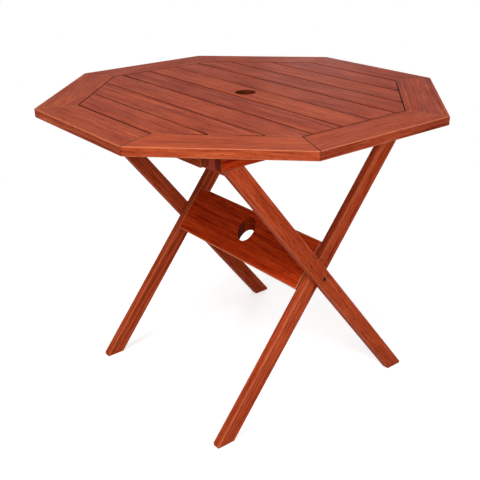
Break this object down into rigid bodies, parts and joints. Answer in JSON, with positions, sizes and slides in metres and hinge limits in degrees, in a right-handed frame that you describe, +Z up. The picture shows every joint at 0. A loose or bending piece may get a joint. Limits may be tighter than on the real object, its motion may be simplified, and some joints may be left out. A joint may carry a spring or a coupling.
{
  "type": "folding umbrella table",
  "caption": "Folding hardwood garden table: octagonal slatted top with an umbrella hole, on two crossed leg frames tied by a bored stretcher.",
  "frame": {"origin": "on the ground under the middle of the umbrella hole", "axes": "+Z up, +X along the slats of the top and along the bolts of the leg frames, +Y towards the side of the top that the inner leg frame is hinged to; the legs fold in the YZ plane"},
  "size_m": [0.9, 0.9, 0.735],
  "materials": {
    "top_wood": "oiled",
    "leg_wood": "oiled",
    "rail_wood": "oiled",
    "biscuit_wood": "bare",
    "bolt_steel": "zinc plated"
  },
  "bodies": {
    "top": {"batten_left": "rail_wood", "batten_right": "rail_wood", "border_board_1": "top_wood", "border_board_2": "top_wood", "border_board_3": "top_wood", "border_board_4": "top_wood", "border_board_5": "top_wood", "border_board_6": "top_wood", "border_board_7": "top_wood", "border_board_8": "top_wood", "hinge_bolt_left": "bolt_steel", "hinge_bolt_right": "bolt_steel", "hinge_nut_left": "bolt_steel", "hinge_nut_right": "bolt_steel", "hinge_nut_washer_left": "bolt_steel", "hinge_nut_washer_right": "bolt_steel", "hinge_washer_left": "bolt_steel", "hinge_washer_right": "bolt_steel", "mitre_biscuit_1": "biscuit_wood", "mitre_biscuit_2": "biscuit_wood", "mitre_biscuit_3": "biscuit_wood", "mitre_biscuit_4": "biscuit_wood", "mitre_biscuit_5": "biscuit_wood", "mitre_biscuit_6": "biscuit_wood", "mitre_biscuit_7": "biscuit_wood", "mitre_biscuit_8": "biscuit_wood", "slat_1": "top_wood", "slat_2": "top_wood", "slat_3": "top_wood", "slat_4": "top_wood", "slat_5": "top_wood", "slat_6": "top_wood", "slat_7": "top_wood", "slat_8": "top_wood", "slat_9": "top_wood", "stop_rail": "rail_wood"},
    "inner_frame": {"crossing_bolt_left": "bolt_steel", "crossing_bolt_right": "bolt_steel", "crossing_nut_left": "bolt_steel", "crossing_nut_right": "bolt_steel", "crossing_nut_washer_left": "bolt_steel", "crossing_nut_washer_right": "bolt_steel", "crossing_washer_left": "bolt_steel", "crossing_washer_right": "bolt_steel", "inner_leg_left": "leg_wood", "inner_leg_right": "leg_wood", "stretcher": "leg_wood"},
    "outer_frame": {"head_rail": "rail_wood", "outer_leg_left": "leg_wood", "outer_leg_right": "leg_wood"}
  },
  "joints": [
    {"name": "inner_frame_hinge", "type": "hinge", "parent": "top", "child": "inner_frame", "pos_m": [0, 0.2695, 0.69], "axis": [1, 0, 0], "range_deg": [0, 35]},
    {"name": "leg_crossing", "type": "hinge", "parent": "inner_frame", "child": "outer_frame", "pos_m": [0, 0, 0.34998], "axis": [-1, 0, 0], "range_deg": [0, 61.25]}
  ],
  "couplings": [
    {"joint": "leg_crossing", "follows": "inner_frame_hinge", "ratio": 1.75}
  ]
}
